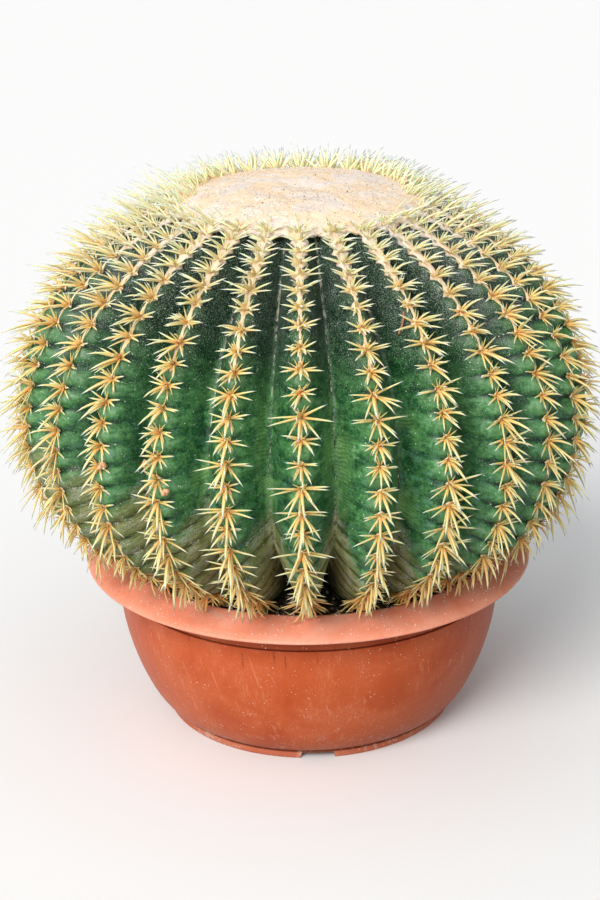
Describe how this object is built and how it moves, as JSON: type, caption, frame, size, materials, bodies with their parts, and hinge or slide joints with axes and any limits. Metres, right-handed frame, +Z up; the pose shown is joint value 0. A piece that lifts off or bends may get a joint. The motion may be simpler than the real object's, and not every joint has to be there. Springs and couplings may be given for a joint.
{
  "type": "potted round cactus",
  "caption": "Round ribbed barrel cactus with golden spines and a woolly crown, standing in a shallow terracotta-coloured bowl pot.",
  "frame": {"origin": "middle of the pot's foot ring, on the surface that it stands on", "axes": "+Z up; -Y is the side that the picture shows; +X to the right seen from there"},
  "size_m": [0.5442, 0.5421, 0.4952],
  "materials": {
    "pot": "matt moulded plastic, terracotta coloured, dusty and lightly scratched",
    "soil": "dark crumbly potting mix with grit",
    "skin": "deep green waxy skin, corky and olive brown towards the base",
    "wool": "cream felted wool",
    "spines": "golden yellow spines, tan at the root and pale at the tip"
  },
  "bodies": {
    "root": {"pot": "pot", "soil": "soil", "cactus_body": "skin", "crown_wool": "wool", "spine_row_01": "spines", "spine_row_02": "spines", "spine_row_03": "spines", "spine_row_04": "spines", "spine_row_05": "spines", "spine_row_06": "spines", "spine_row_07": "spines", "spine_row_08": "spines", "spine_row_09": "spines", "spine_row_10": "spines", "spine_row_11": "spines", "spine_row_12": "spines", "spine_row_13": "spines", "spine_row_14": "spines", "spine_row_15": "spines", "spine_row_16": "spines", "spine_row_17": "spines", "spine_row_18": "spines", "spine_row_19": "spines", "spine_row_20": "spines", "spine_row_21": "spines", "spine_row_22": "spines", "spine_row_23": "spines", "spine_row_24": "spines", "spine_row_25": "spines", "spine_row_26": "spines"}
  },
  "joints": []
}
